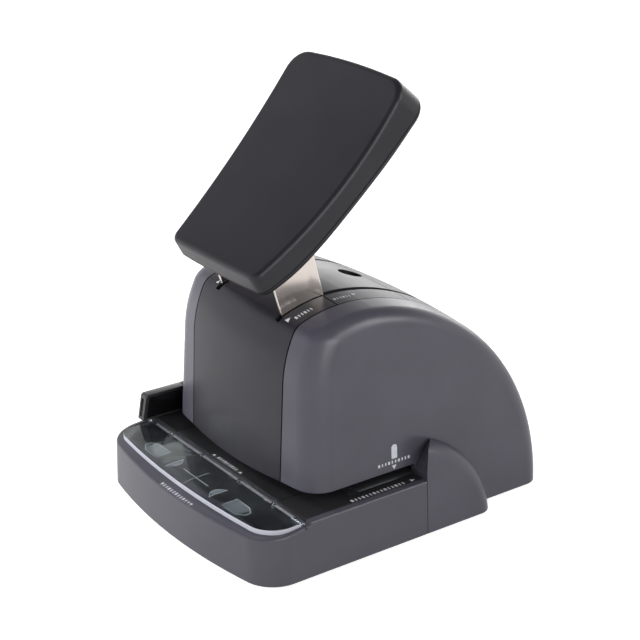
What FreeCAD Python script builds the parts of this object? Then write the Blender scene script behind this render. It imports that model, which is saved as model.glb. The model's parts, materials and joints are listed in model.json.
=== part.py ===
# Lever-operated two-hole desk binding machine, millimetres.
# X runs across the machine, -Y is the front (paper side), Z is up, the feet stand on Z = 0.
import math
import os

import FreeCAD
import Part

os.makedirs("parts", exist_ok=True)
V = FreeCAD.Vector

# ---- overall body ----
side_draft = 0.058            # inward lean of every outer side wall, mm per mm of height
base_half_width = 78.0        # at the floor
base_front_y = -99.1
base_front_radius = 334.0     # gentle bow of the front wall in plan
base_corner_radius = 18.0
base_bottom_z = 1.0
seam_y = 8.4                  # joint between the base front and the rear covers, back of the throat
wall = 2.5                    # moulded wall thickness
groove = 0.35                 # width of the shadow line at a cover joint
groove_depth = 0.8
part_gap = 0.3                # air between a moving piece and the piece beside it
fit_gap = 0.05                # radial clearance of a running pin or post

# ---- deck and slot ----
rim_front_z = 25.0            # top of the front wall in the middle
rim_slope = 0.108             # rise of the rim towards the rear
rim_round = 1.2               # rounding of the rim's outer edge
deck_z = 30.4
deck_thickness = 3.0
bed_z = 31.6                  # paper bed inside the throat
bed_rail = 3.4                # width of its rounded side rails
bed_front_y = -33.0
deck_half_width = base_half_width - 5.5
slot_top_z = 36.0             # underside of the head
pocket_front_gap = 0.5

# ---- clear position plate ----
plate_rear_y = -65.4
plate_front_y = -93.1
plate_half_width = base_half_width - 4.6
plate_front_radius = 478.0
plate_corner_radius = 15.0
plate_top_z = 29.6
plate_thickness = 2.8
plate_pin_radius = 0.8
plate_pin_y = -67.0
plate_pin_end = base_half_width - 1.8
plate_pin_length = 11.6
hole_pitch = 80.0
punch_y = -1.7                # line on which both tongues are cut

# ---- head ----
head_half_width = base_half_width - 10.7    # at the floor, before the side lean
bed_half_width = head_half_width - 2.4
head_front_y = -60.7
head_front_lean = 0.042
head_corner_radius = 14.0
head_edge_radius = 10.0
arc_y = -21.4                 # centre of the big side arc
arc_z = 4.0
arc_radius = 120.5
front_arc_radius = 80.0       # the arc tightens towards the front of the head
front_arc_turn = 5.8          # degrees behind the top at which it does
brow_radius = 65.0            # the front wall leans back along this arc
brow_z = 88.0                 # from this height up
crown_radius = 600.0          # slight sideways doming of the arcs
head_bow_radius = 334.0
cover_half_width = 41.0       # joint between the middle covers and the side covers
cover_split_y = -22.4
lip_drop = 1.4                # the front cover hangs this much lower in the middle
bulge_y = -1.5
bulge_z = -4.5
bulge_radius = 55.5
bulge_edge_radius = 9.0
facet_z = 33.3                # above this the flare's front leans back towards the head
facet_lean = 0.72             # by this much per mm of height at the head's side
top_hole_y = 15.4
top_hole_radius = 6.6
arm_slot_half_x = 27.0
arm_slot_width = 3.4
arm_slot_front_y = -49.4
arm_slot_rear_y = 37.8

# ---- lever ----
pivot_y = -18.7
pivot_z = 58.0
pivot_radius = 4.0
lever_stroke = 36.0
arm_thickness = 2.0
drive_radius = 26.0
drive_start = 30.0            # degrees above level with the lever at START
drive_pin_radius = 2.5
yoke_clearance = 0.4          # slack of the drive pin in its slot, opens the closed chain
arm_front = (-46.5, 117.5, 0.289)    # front edge of the arms: y, z and lean
arm_rear = (-21.3, 122.1, 0.261)     # rear edge of the arms
pad_wall = 2.4
pad_angle = 45.4              # slope of the pad at START
pad_foot_y = -70.2
pad_foot_z = 145.3
pad_length = 122.0
pad_dish = 5.4                # hollow of the face along its length
pad_foot_depth = 14.5
pad_top_depth = 20.2
pad_foot_half = 37.8
pad_mid_half = 44.9
pad_top_half = 46.0
pad_flare = 1.0               # the sides spread by this much from face to seam
pad_foot_flare = 4.0
pad_foot_bow = 1.6            # the low edge of the pad's back bulges by this
pad_top_flare = 0.8
pad_top_bow = 2.3
pad_foot_corner = 6.0
pad_top_corner = 12.6
pad_face_round = 2.6
pad_back_round = 3.0
web_top_n = -14.4

# ---- frame and ram ----
frame_x = head_half_width - 15.3
frame_thickness = 2.5
chassis_z = 3.6
chassis_thickness = 2.0
ram_half_width = frame_x - 4.5
ram_bottom_z = 54.5
ram_thickness = 7.0
ram_rear_y = 14.0
post_x = 18.0
post_y = 10.0
post_radius = 3.0
bridge_z = 88.0
cutter_length = 18.2
cutter_half_width = 3.6
punch_travel = drive_radius * (math.sin(math.radians(drive_start))
                               - math.sin(math.radians(drive_start - lever_stroke)))

floor_top = slot_top_z + 2.5  # upper face of the head's floor plate
floor_screw_x = base_half_width - 14.0
floor_screw_ys = (-82.0, -12.0)
floor_step_y = 44.0           # behind this the bottom panel is only as wide as the head
floor_rear_y = 93.8
panel_line_x = 48.9           # fine lines that divide the deck
cheek_x = arm_slot_half_x - 4.0    # middle of the ram's slotted cheeks
chassis_screw_x = frame_x + 5.3
chassis_screw_ys = (-44.0, 66.0)
chassis_half_width = frame_x + 7.5
chassis_top = chassis_z + chassis_thickness
frame_bores = ((-39.7, 78.8), (16.1, 97.3), (-42.0, 46.0), (62.0, 60.0), (62.0, 20.0))
boss_spots = ((-28.0, 92.0), (34.0, 80.0), (68.0, 40.0), (-40.0, 62.0))
spring_x = 41.0
spring_y = 10.0

# ---- side guide ----
guide_inner_x = 8.7 - base_half_width
guide_outer_x = 3.0 - base_half_width
guide_front_y = -73.0
guide_rear_y = -24.0
guide_top_z = 45.2
guide_bar_half_y = 8.0
guide_bar_y = -48.0
guide_bar_top_z = 26.9
guide_bar_thickness = 3.0
guide_bar_end_x = 22.0


def box(x0, x1, y0, y1, z0, z1):
    return Part.makeBox(x1 - x0, y1 - y0, z1 - z0, V(x0, y0, z0))


def rod_x(radius, x0, x1, y, z):
    return Part.makeCylinder(radius, x1 - x0, V(x0, y, z), V(1, 0, 0))


def rod_y(radius, x, y0, y1, z):
    return Part.makeCylinder(radius, y1 - y0, V(x, y0, z), V(0, 1, 0))


def rod_z(radius, x, y, z0, z1):
    return Part.makeCylinder(radius, z1 - z0, V(x, y, z0), V(0, 0, 1))


def slab_x(points, x0, x1):
    """Polygon of (y, z) points carried from x0 to x1."""
    corners = [V(x0, y, z) for y, z in points]
    face = Part.Face(Part.makePolygon(corners + corners[:1]))
    return face.extrude(V(x1 - x0, 0, 0))


def slab_z(points, z0, z1):
    """Polygon of (x, y) points carried from z0 to z1."""
    corners = [V(x, y, z0) for x, y in points]
    face = Part.Face(Part.makePolygon(corners + corners[:1]))
    return face.extrude(V(0, 0, z1 - z0))


def join(pieces):
    whole = pieces[0]
    for piece in pieces[1:]:
        whole = whole.fuse(piece)
    return whole.removeSplitter()


def mirror(shape):
    return shape.mirror(V(0, 0, 0), V(1, 0, 0))


def write(name, shape):
    shape = shape if isinstance(shape, Part.Shape) else Part.makeCompound(shape)
    if shape.Volume <= 0 or not shape.isValid():
        raise ValueError("bad shape for " + name)
    shape.exportStep("parts/" + name + ".step")
    b = shape.BoundBox
    print(name, len(shape.Solids), [round(v, 1) for v in (b.XMin, b.XMax, b.YMin, b.YMax, b.ZMin, b.ZMax)])


def bowed_outline(half, front, bow, corner, rear, z):
    """Closed wire: straight sides and rear, bowed front, rounded front corners."""
    bow_y = front + bow
    cx = half - corner
    cy = bow_y - math.sqrt((bow - corner) ** 2 - cx ** 2)
    turn = math.atan2(cx, bow_y - cy)
    on_bow = V(bow * math.sin(turn), bow_y - bow * math.cos(turn), z)
    half_turn = (math.pi / 2 + turn) / 2
    on_corner = V(cx + corner * math.sin(half_turn), cy - corner * math.cos(half_turn), z)
    left_bow = V(-on_bow.x, on_bow.y, z)
    left_corner = V(-on_corner.x, on_corner.y, z)
    edges = [
        Part.LineSegment(V(-half, rear, z), V(-half, cy, z)).toShape(),
        Part.Arc(V(-half, cy, z), left_corner, left_bow).toShape(),
        Part.Arc(left_bow, V(0, front, z), on_bow).toShape(),
        Part.Arc(on_bow, on_corner, V(half, cy, z)).toShape(),
        Part.LineSegment(V(half, cy, z), V(half, rear, z)).toShape(),
        Part.LineSegment(V(half, rear, z), V(-half, rear, z)).toShape(),
    ]
    return Part.Wire(edges)


def drafted_block(half, front, bow, corner, rear, z0, z1, lean=0.011):
    """Block on a bowed outline whose sides lean in by side_draft and front by lean."""
    wires = []
    for z in (z0, z1):
        w = half - side_draft * z
        wires.append(bowed_outline(w, front + lean * z, bow, corner, rear, z))
    return Part.makeLoft(wires, True, True)


def rim_height(y):
    return rim_front_z + rim_slope * (y - base_front_y)


# ---------------------------------------------------------------- base
def base_block(inset):
    block = drafted_block(base_half_width - inset, base_front_y + inset, base_front_radius - inset,
                          base_corner_radius - inset, seam_y, base_bottom_z - 1, 40.0)
    deck_start = plate_rear_y + 1.0
    top = slab_x([(-110, rim_height(-110)), (deck_start, rim_height(deck_start)),
                  (deck_start, deck_z), (seam_y + 20, deck_z), (seam_y + 20, 60), (-110, 60)], -90, 90)
    block = block.cut(top).common(box(-90, 90, -110, seam_y, base_bottom_z, 60))
    if inset:
        return block
    brim = []
    for edge in block.Edges:
        b = edge.BoundBox
        across = b.XLength > 100 and b.YLength < 0.1
        if b.ZMin > 20 and b.ZLength < 8 and not across:
            brim.append(edge)
    return block.makeFillet(rim_round, brim)


def plate_outline(inset, z0, z1):
    wire = bowed_outline(plate_half_width + inset, plate_front_y - inset, plate_front_radius,
                         plate_corner_radius + inset, plate_rear_y + (0.6 if inset else 0), z0)
    return Part.Face(wire).extrude(V(0, 0, z1 - z0))


def guide_notch(gap):
    return box(-90, guide_inner_x + gap, guide_bar_y - guide_bar_half_y - gap,
               guide_bar_y + guide_bar_half_y + gap,
               guide_bar_top_z - guide_bar_thickness - gap, 60)


def make_base_shell():
    outer = base_block(0.0)
    inner = base_block(wall).translated(V(0, 0, -wall))
    inner = inner.fuse(box(4 - base_half_width, base_half_width - 4, -40, seam_y + 1,
                           0, deck_z - deck_thickness))
    shell = outer.cut(inner)
    deck_open = box(-deck_half_width, deck_half_width, plate_rear_y + 1.0, seam_y + 1,
                    deck_z - deck_thickness, 60)
    shell = shell.cut(deck_open)
    pocket = plate_outline(pocket_front_gap, plate_top_z - plate_thickness - 0.2, 60)
    shell = shell.cut(pocket)
    skin = base_block(0.0).cut(base_block(groove_depth))
    shell = shell.cut(skin.common(box(-90, 90, seam_y - groove, seam_y + 1, 0, 60)))
    shelf = plate_outline(pocket_front_gap, plate_top_z - plate_thickness - 2.4,
                          plate_top_z - plate_thickness - 0.2).common(base_block(0.2))
    shell = shell.fuse(shelf).removeSplitter()
    ledge_x0 = deck_half_width - 2.0
    ledge_x1 = deck_half_width + 3.0
    ledge_z = deck_z - deck_thickness
    for x0, x1, y0, y1 in ((-ledge_x1, -ledge_x0, plate_rear_y + 1, -58), (-ledge_x1, -ledge_x0, -38, seam_y),
                           (ledge_x0, ledge_x1, plate_rear_y + 1, seam_y)):
        shell = shell.fuse(box(x0, x1, y0, y1, ledge_z - 3, ledge_z).common(base_block(0.2)))
    for side in (-1, 1):
        for y in floor_screw_ys:
            shell = shell.fuse(rod_z(4.0, side * floor_screw_x, y, 3.6, 24.6))
        x0, x1 = sorted((side * floor_screw_x, side * (base_half_width - 3.0)))
        shell = shell.fuse(box(x0, x1, floor_screw_ys[1] - 1.2, floor_screw_ys[1] + 1.2, 3.6, 24.4))
    shell = shell.removeSplitter().cut(guide_notch(part_gap))
    for side in (-1, 1):
        for y in floor_screw_ys:
            shell = shell.cut(rod_z(1.5, side * floor_screw_x, y, 3.0, 16.0))
        x0, x1 = sorted((side * (plate_pin_end - plate_pin_length), side * (base_half_width + 4)))
        shell = shell.cut(rod_x(plate_pin_radius + 0.02, x0, x1, plate_pin_y,
                                plate_top_z - plate_thickness / 2))
    write("base_shell", shell)


def floor_outline(z0, z1):
    wire = bowed_outline(base_half_width - wall - 0.4, base_front_y + wall + 0.3, base_front_radius,
                         base_corner_radius - wall, floor_step_y, z0)
    front = Part.Face(wire).extrude(V(0, 0, z1 - z0))
    half = head_half_width - 3.3
    corner = head_corner_radius - 3.0
    right = [(half, floor_step_y - 5), (half, floor_rear_y - corner), (half - corner, floor_rear_y)]
    rear = slab_z(right + [(-x, y) for x, y in reversed(right)], z0, z1)
    return front.fuse(rear).removeSplitter()


def make_floor():
    panel = floor_outline(base_bottom_z + 0.2, 3.6)
    feet = []
    screw_spots = []
    for side in (-1, 1):
        for x, y in ((48.0, -80.0), (52.0, 82.0)):
            panel = panel.cut(rod_z(8.0, side * x, y, 0, 2.2))
            feet.append(rod_z(7.9, side * x, y, 0.0, 2.2))
        for y in floor_screw_ys:
            screw_spots.append((side * floor_screw_x, y, 15.0))
        screw_spots.append((side * 40.0, 66.0, 5.8))
    screws = []
    for x, y, shank in screw_spots:
        panel = panel.cut(rod_z(1.8, x, y, 0, 6)).cut(rod_z(3.1, x, y, 0, 2.4))
        head = rod_z(2.9, x, y, 1.3, 2.4)
        head = head.cut(box(x - 2.2, x + 2.2, y - 0.35, y + 0.35, 1.2, 1.8))
        head = head.cut(box(x - 0.35, x + 0.35, y - 2.2, y + 2.2, 1.2, 1.8))
        screws.append(head.fuse(rod_z(1.45, x, y, 2.4, shank)))
    write("base_floor", panel)
    write("rubber_feet", feet)
    write("floor_screws", screws)


def make_deck():
    deck = box(-deck_half_width, deck_half_width, plate_rear_y + 1.0, seam_y, deck_z - deck_thickness, deck_z)
    deck = deck.cut(guide_notch(part_gap))
    deck = deck.cut(box(-bed_half_width, bed_half_width, bed_front_y, seam_y + 1, deck_z - 1.0, 60))
    for side in (-1, 1):
        deck = deck.cut(box(side * 40 - 8, side * 40 + 8, -14.0, 6.0, 20, 40))
        line_x = side * panel_line_x
        deck = deck.cut(box(line_x - 0.25, line_x + 0.25, -70.0, bed_front_y, deck_z - 0.5, 40))
    write("deck_plate", deck)


def cutter_section(x, gap):
    """Tongue outline: a house shape pointing to the front."""
    w = cutter_half_width + gap
    y0 = punch_y - 4.2 - gap
    return [(x - w, y0 + 2.6), (x, y0), (x + w, y0 + 2.6), (x + w, punch_y + 4.2 + gap),
            (x - w, punch_y + 4.2 + gap)]


def slit_section(x, gap):
    return (x - 4.6 - gap, x + 4.6 + gap, punch_y + 5.6 - gap, punch_y + 6.6 + gap)


def rail_trim(side):
    """What is taken off the bed's side so that a rounded rail is left."""
    inner = V(side * (bed_half_width - bed_rail), bed_front_y - 1, bed_z)
    outer = V(side * bed_half_width, bed_front_y - 1, deck_z + 0.05)
    mid = V(side * (bed_half_width - bed_rail * 0.32), bed_front_y - 1, bed_z - 0.36)
    above = V(side * bed_half_width, bed_front_y - 1, bed_z + 1)
    edges = [Part.Arc(inner, mid, outer).toShape(), Part.LineSegment(outer, above).toShape(),
             Part.LineSegment(above, V(inner.x, inner.y, above.z)).toShape(),
             Part.LineSegment(V(inner.x, inner.y, above.z), inner).toShape()]
    return Part.Face(Part.Wire(edges)).extrude(V(0, 60, 0))


def make_bed_and_die():
    bed = box(-bed_half_width, bed_half_width, bed_front_y, seam_y, deck_z - 1.0, bed_z)
    ramp = slab_x([(bed_front_y - 1, deck_z + 0.02), (bed_front_y + 4.0, bed_z + 0.3),
                   (bed_front_y - 1, bed_z + 0.3)], -90, 90)
    bed = bed.cut(ramp)
    for side in (-1, 1):
        bed = bed.cut(rail_trim(side))
    die = box(-48.0, 48.0, -14.0, 7.0, 22.4, deck_z - 1.0)
    keep = box(-49, 49, -15, 8, 22.4, deck_z - deck_thickness)
    for side in (-1, 1):
        keep = keep.fuse(box(side * 40 - 7.9, side * 40 + 7.9, -13.9, 5.9, 22.4, deck_z - 1.0))
    die = die.common(keep)
    for side in (-1, 1):
        x = side * hole_pitch / 2
        x0, x1, y0, y1 = slit_section(x, part_gap)
        for tool in (slab_z(cutter_section(x, part_gap), 10, 40), box(x0, x1, y0, y1, 10, 40)):
            bed = bed.cut(tool)
            die = die.cut(tool)
    for side in (-1, 1):
        notch = slab_z([(side * (bed_half_width + 1), -33.6), (side * (bed_half_width + 1), -26.0),
                        (side * (bed_half_width - 5.5), -29.6)], deck_z + 0.01, 40)
        bed = bed.cut(notch)
    write("paper_bed", bed.removeSplitter())
    write("die_plate", die.removeSplitter())


def make_die_supports():
    posts = []
    for side in (-1, 1):
        for x, half in ((46.6, 1.4), (12.0, 2.0)):
            posts.append(box(side * x - half, side * x + half, -13.0, 5.0, chassis_top, 22.4))
    write("die_supports", posts)


def make_position_plate():
    z1 = plate_top_z
    z0 = plate_top_z - plate_thickness
    pin_z = (z0 + z1) / 2
    plate = plate_outline(0.0, z0, z1)
    # relieve the rear edge into hinge lugs and thin bars
    for x0, x1 in ((-49.3, -48.5), (48.5, 49.3), (-18.3, -17.5), (17.5, 18.3)):
        plate = plate.cut(box(x0, x1, plate_rear_y - 3.2, plate_rear_y + 1, z0 - 1, z1 + 1))
    for x0, x1 in ((-48.5, -18.3), (18.3, 48.5)):
        plate = plate.cut(box(x0, x1, plate_pin_y + 0.6, plate_rear_y + 1, z0 - 1, z1 + 1))
    barrel = rod_x(plate_thickness / 2, -plate_half_width, plate_half_width, plate_pin_y, pin_z)
    tail = box(-120, 120, plate_pin_y, plate_rear_y + 1, z0 - 1, z1 + 1).cut(barrel)
    plate = plate.cut(tail)
    plate = plate.cut(box(-120, guide_inner_x + 0.4, plate_front_y - 1, 0, z0 - 1, z1 + 1))
    pins = []
    for side in (-1, 1):
        x0, x1 = sorted((side * (plate_pin_end - plate_pin_length), side * plate_pin_end))
        plate = plate.cut(rod_x(plate_pin_radius + fit_gap, x0 - 0.6, x1 + 0.6, plate_pin_y, pin_z))
        pins.append(rod_x(plate_pin_radius, x0, x1, plate_pin_y, pin_z))
    write("position_plate", plate)
    write("plate_pins", pins)


# ---------------------------------------------------------------- side guide
def make_guide():
    face_in = guide_inner_x
    profile = [(guide_front_y, deck_z + part_gap), (guide_front_y + 2.4, guide_top_z - 1.0),
               (guide_front_y + 3.6, guide_top_z), (guide_rear_y, guide_top_z),
               (guide_rear_y, deck_z + part_gap)]
    wall_block = slab_x(profile, guide_outer_x, face_in)
    foot = box(guide_outer_x, face_in, guide_bar_y - guide_bar_half_y, guide_bar_y + guide_bar_half_y,
               guide_bar_top_z - guide_bar_thickness, deck_z + part_gap)
    body = wall_block.fuse(foot).removeSplitter()
    inner_pocket = slab_x([(guide_front_y + 2.3, deck_z + 1.5), (guide_front_y + 4.4, guide_top_z - 1.4),
                           (guide_rear_y - 1.5, guide_top_z - 1.4), (guide_rear_y - 1.5, deck_z + 1.5)],
                          face_in - 1.2, face_in + 1)
    body = body.cut(inner_pocket)
    end_pocket = slab_x([(guide_front_y - 1, deck_z + 2.0), (guide_front_y - 1, guide_top_z - 2.6),
                         (guide_front_y + 3.2, guide_top_z - 2.6), (guide_front_y + 1.2, deck_z + 2.0)],
                        guide_outer_x + 1.3, face_in - 1.9)
    body = body.cut(end_pocket)
    body = body.cut(box(guide_outer_x - 1, face_in + 1, -46.4, -46.0, guide_top_z - 0.4, guide_top_z + 1))
    insert = inner_pocket.common(box(face_in - 1.2, face_in - 0.1, -90, 0, 0, 60))
    z1 = guide_bar_top_z
    z0 = z1 - guide_bar_thickness
    bar = box(face_in, guide_bar_end_x, guide_bar_y - guide_bar_half_y, guide_bar_y + guide_bar_half_y, z0, z1)
    bar = bar.cut(box(-52.0, 12.0, guide_bar_y - 2.0, guide_bar_y + 2.0, z0 - 1, z1 + 1))
    write("paper_guide", body)
    write("guide_insert", insert)
    write("guide_bar", bar.removeSplitter())
    outer = box(-66.0, 30.0, guide_bar_y - guide_bar_half_y - 2.3, guide_bar_y + guide_bar_half_y + 2.3,
                z0 - 2.3, deck_z - deck_thickness)
    reach = guide_bar_half_y + part_gap
    inside = box(-67.0, 31.0, guide_bar_y - reach, guide_bar_y + reach, z0 - part_gap, 60)
    channel = outer.cut(inside)
    channel = channel.fuse(rod_z(1.6, -49.6, guide_bar_y, z0 - 2.3, z1 - 0.4))
    write("guide_channel", channel.removeSplitter())


# ---------------------------------------------------------------- head covers
def domed_disc(y, z, radius, half):
    """Disc about the crosswise line at y, z, its rim dropping towards both sides."""
    end = radius - half * half / (2.0 * crown_radius)
    rim = Part.Arc(V(-half, y + end, z), V(0, y + radius, z), V(half, y + end, z)).toShape()
    sides = [Part.LineSegment(V(half, y + end, z), V(half, y, z)).toShape(),
             Part.LineSegment(V(half, y, z), V(-half, y, z)).toShape(),
             Part.LineSegment(V(-half, y, z), V(-half, y + end, z)).toShape()]
    face = Part.Face(Part.Wire([rim] + sides))
    upper = face.revolve(V(0, y, z), V(1, 0, 0), 180)
    lower = face.extrude(V(0, 0, -z - 2.0))
    front = box(-half, half, y - radius, y, -2.0, z)
    return upper.fuse(lower).fuse(front).removeSplitter()


def under_crown(block, inset):
    """The block cut to the big arc at the rear, which runs into the tighter one at the front."""
    turn = math.radians(front_arc_turn)
    up_y = math.sin(turn)
    up_z = math.cos(turn)
    step = arc_radius - front_arc_radius
    join_line = [(arc_y - 200 * up_y, arc_z - 200 * up_z), (arc_y + 200 * up_y, arc_z + 200 * up_z)]
    front_zone = slab_x(join_line + [(-240, 240), (-240, -240)], -90, 90)
    rear = block.cut(front_zone).common(domed_disc(arc_y, arc_z, arc_radius - inset, 80.0))
    front = block.common(front_zone)
    front = front.common(domed_disc(arc_y + step * up_y, arc_z + step * up_z, front_arc_radius - inset, 80.0))
    return rear.fuse(front).removeSplitter()


def front_sweep(inset):
    """Everything behind the bowed front wall, which leans back along an arc above brow_z."""
    axis_y = head_front_y + head_bow_radius
    wall_y = head_front_y + inset
    centre_y = wall_y + head_front_lean * (brow_z - 34.0) + brow_radius
    centre_z = brow_z - head_front_lean * brow_radius

    def brow_point(z):
        return V(0, centre_y - math.sqrt(brow_radius ** 2 - (z - centre_z) ** 2), z)

    low = V(0, wall_y - head_front_lean * 36.0, -2.0)
    start = brow_point(brow_z)
    top = brow_point(136.0)
    corners = [top, V(0, 140.0, 136.0), V(0, 140.0, -2.0), low, start]
    edges = [Part.LineSegment(p, q).toShape() for p, q in zip(corners, corners[1:])]
    edges.append(Part.Arc(start, brow_point(112.0), top).toShape())
    face = Part.Face(Part.Wire(Part.__sortEdges__(edges)))
    face.rotate(V(0, axis_y, 0), V(0, 0, 1), -1)
    return face.revolve(V(0, axis_y, 0), V(0, 0, 1), 41)


def head_block(inset):
    """Whole head without the throat: leaning walls under the arcs, top edges rounded."""
    widths = [(0, head_half_width - inset - side_draft * z, z) for z in (-2.0, 136.0)]
    half = slab_points_loft(widths, 1).common(front_sweep(inset))
    corner = [e for e in half.Edges if e.BoundBox.XMin > 50 and e.BoundBox.ZLength > 20
              and e.BoundBox.YMax < -20]
    half = under_crown(half.makeFillet(head_corner_radius - inset, corner), inset)
    picked = []
    for edge in half.Edges:
        b = edge.BoundBox
        if b.XMax < 1:
            continue
        side = b.XLength < 9 and b.XMin > 50 and b.ZMax > 60 and b.ZMin > 3 and b.YLength > 15
        front = b.ZMin > 108 and b.YMax < -28
        rear = edge.CenterOfMass.x > 50 and edge.CenterOfMass.y > 90 and b.ZMax < arc_z + 1 and b.ZLength > 3
        if side or front or rear:
            picked.append(edge)
    half = half.makeFillet(head_edge_radius - inset, picked)
    return half.fuse(mirror(half)).removeSplitter()


def bulge_block(inset, side):
    """Lower rear flare beside the head, on the given side."""
    r = bulge_radius - inset
    x0, x1 = sorted((side * 40.0, side * 100.0))
    disc = Part.makeCylinder(r, 60.0, V(x0, bulge_y, bulge_z), V(1, 0, 0))
    w0 = base_half_width - inset + side_draft * 70.0
    w1 = base_half_width - inset - side_draft * 70.0
    lump = disc.common(slab_points_loft([(0, w0, -70.0), (0, w1, 70.0)], side))
    edges = [e for e in lump.Edges if abs(e.CenterOfMass.x) > base_half_width - 10]
    lump = lump.makeFillet(bulge_edge_radius - inset, edges)
    return lump.common(box(-100, 100, seam_y, 100, -2, 100)).cut(throat_wedge(side, inset))


def throat_wedge(side, inset):
    """Open corner between the head's side and the flare: upright, then leaning back."""
    edge_x = side * (base_half_width - 1.4)
    head_x = side * (head_half_width - 2.3)
    far_x = side * (base_half_width + 12.0)
    mid_x = side * 40.0
    wires = []
    for z in (facet_z, 60.0):
        back = seam_y + inset * 1.23 + facet_lean * (z - facet_z)
        pts = [V(mid_x, seam_y - 20.0, z), V(far_x, seam_y - 20.0, z), V(far_x, seam_y - 1.0 + inset, z),
               V(edge_x, seam_y + inset, z), V(head_x, back, z), V(mid_x, back, z)]
        wires.append(Part.makePolygon(pts + pts[:1]))
    x0, x1 = sorted((mid_x, far_x))
    low = box(x0, x1, seam_y - 20.0, seam_y + inset, deck_z - inset, facet_z)
    return Part.makeLoft(wires, True, True).fuse(low)


def slab_points_loft(levels, side):
    """Wedge reaching from the centre plane to a leaning side plane."""
    wires = []
    for x0, x1, z in levels:
        pts = [V(side * x0, -120, z), V(side * x1, -120, z), V(side * x1, 160, z), V(side * x0, 160, z)]
        wires.append(Part.makePolygon(pts + pts[:1]))
    return Part.makeLoft(wires, True, True)


def body_block(inset):
    """Head with the left flare; the right cover is made as its mirror image."""
    return head_block(inset).fuse(bulge_block(inset, -1))


def cover_openings():
    """Two slots for the lever arms and the round hole between them."""
    tools = []
    for side in (-1, 1):
        x0 = side * arm_slot_half_x - arm_slot_width / 2
        tools.append(box(x0, x0 + arm_slot_width, arm_slot_front_y, arm_slot_rear_y, 100, 140))
    tilt = math.degrees(math.asin((top_hole_y - arc_y) / arc_radius))
    hole = rod_z(top_hole_radius, 0, top_hole_y, 100, 140)
    hole.rotate(V(0, top_hole_y, 118), V(1, 0, 0), -tilt)
    return tools + [hole]


def make_covers():
    outer = body_block(0.0)
    skin = body_block(groove_depth)
    skin_part = outer.cut(skin)
    core_part = skin.cut(body_block(wall))
    openings = cover_openings()
    throat = box(-100, 100, -120, seam_y, -10, slot_top_z)
    under = box(-100, 100, -120, 120, -10, base_bottom_z)
    c = cover_half_width
    front = box(-c, c, -120, cover_split_y, -10, 140)
    front_skin = box(groove - c, c - groove, -120, cover_split_y - groove, -10, 140)
    zones = {
        "front_cover": (front, front_skin),
        "rear_cover": (box(-c, c, cover_split_y, 120, -10, 140),) * 2,
        "side_cover_left": (box(-120, -c, -120, 120, -10, 140),) * 2,
    }
    made = {}
    for name, (core_zone, skin_zone) in zones.items():
        shape = core_part.common(core_zone).fuse(skin_part.common(skin_zone))
        if name == "front_cover":
            shape = trim_lip(shape)
        else:
            shape = shape.cut(throat).cut(under)
        for tool in openings:
            shape = shape.cut(tool)
        made[name] = shape.removeSplitter()
    return made


def place_pad(shape):
    """Carry a shape drawn with Y = t and Z = n into the machine frame."""
    turned = shape.copy()
    turned.rotate(V(0, 0, 0), V(1, 0, 0), pad_angle)
    turned.translate(V(0, pad_foot_y, pad_foot_z))
    return turned


def pad_profile(inset, x0, x1):
    """Side section of the pad: dished face above, nearly flat back below."""
    radius = (pad_length ** 2 / 4 + pad_dish ** 2) / (2 * pad_dish)
    mid = pad_length / 2
    def face_at(t):
        return radius - pad_dish - math.sqrt(radius ** 2 - (t - mid) ** 2) - inset
    t0 = -9.0
    t1 = pad_length + 10.0
    face_arc = Part.Arc(V(x0, t0, face_at(t0)), V(x0, mid, face_at(mid)), V(x0, t1, face_at(t1)))
    back = Part.BSplineCurve()
    knots = ((t1, -21.4), (pad_length - 8.0, -pad_top_depth), (90.0, -20.6), (65.0, -20.2), (30.0, -19.2),
             (14.0, -17.4), (2.0, -pad_foot_depth), (t0, -11.2))
    back.interpolate([V(x0, t, n + inset) for t, n in knots])
    p0 = V(x0, t0, face_at(t0))
    p1 = V(x0, t1, face_at(t1))
    p2 = V(x0, t1, knots[0][1] + inset)
    p3 = V(x0, t0, knots[-1][1] + inset)
    wire = Part.Wire([face_arc.toShape(), Part.LineSegment(p1, p2).toShape(), back.toShape(),
                      Part.LineSegment(p3, p0).toShape()])
    return Part.Face(wire).extrude(V(x1 - x0, 0, 0))


def pad_wire(inset, n):
    """Plan outline of the pad at depth n; it flares towards the back."""
    k = -n / 16.0
    w0 = pad_foot_half + pad_flare * k - inset
    w1 = pad_mid_half + pad_flare * k - inset
    w2 = pad_top_half + pad_flare * k - inset
    low_t = -pad_foot_flare * k + inset
    high_t = pad_length + pad_top_flare * k - inset
    side_t = high_t - pad_top_bow
    return Part.Wire([
        Part.Arc(V(-w0, low_t, n), V(0, low_t - pad_foot_bow * k, n), V(w0, low_t, n)).toShape(),
        Part.Arc(V(w0, low_t, n), V(w1, 56.0, n), V(w2, side_t, n)).toShape(),
        Part.Arc(V(w2, side_t, n), V(0, high_t, n), V(-w2, side_t, n)).toShape(),
        Part.Arc(V(-w2, side_t, n), V(-w1, 56.0, n), V(-w0, low_t, n)).toShape(),
    ])


def pad_plan(inset):
    """Flared plan of the pad carried through its thickness, corners rounded."""
    block = Part.makeLoft([pad_wire(inset, -28.0), pad_wire(inset, 6.0)], True, True)
    uprights = [e for e in block.Edges if e.BoundBox.ZLength > 30]
    low = [e for e in uprights if e.CenterOfMass.y < 30]
    block = block.makeFillet(max(pad_foot_corner - inset, 1.2), low)
    high = [e for e in block.Edges if e.BoundBox.ZLength > 30 and e.CenterOfMass.y > 90
            and abs(e.CenterOfMass.x) > 35]
    return block.makeFillet(max(pad_top_corner - inset, 1.2), high)


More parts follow.
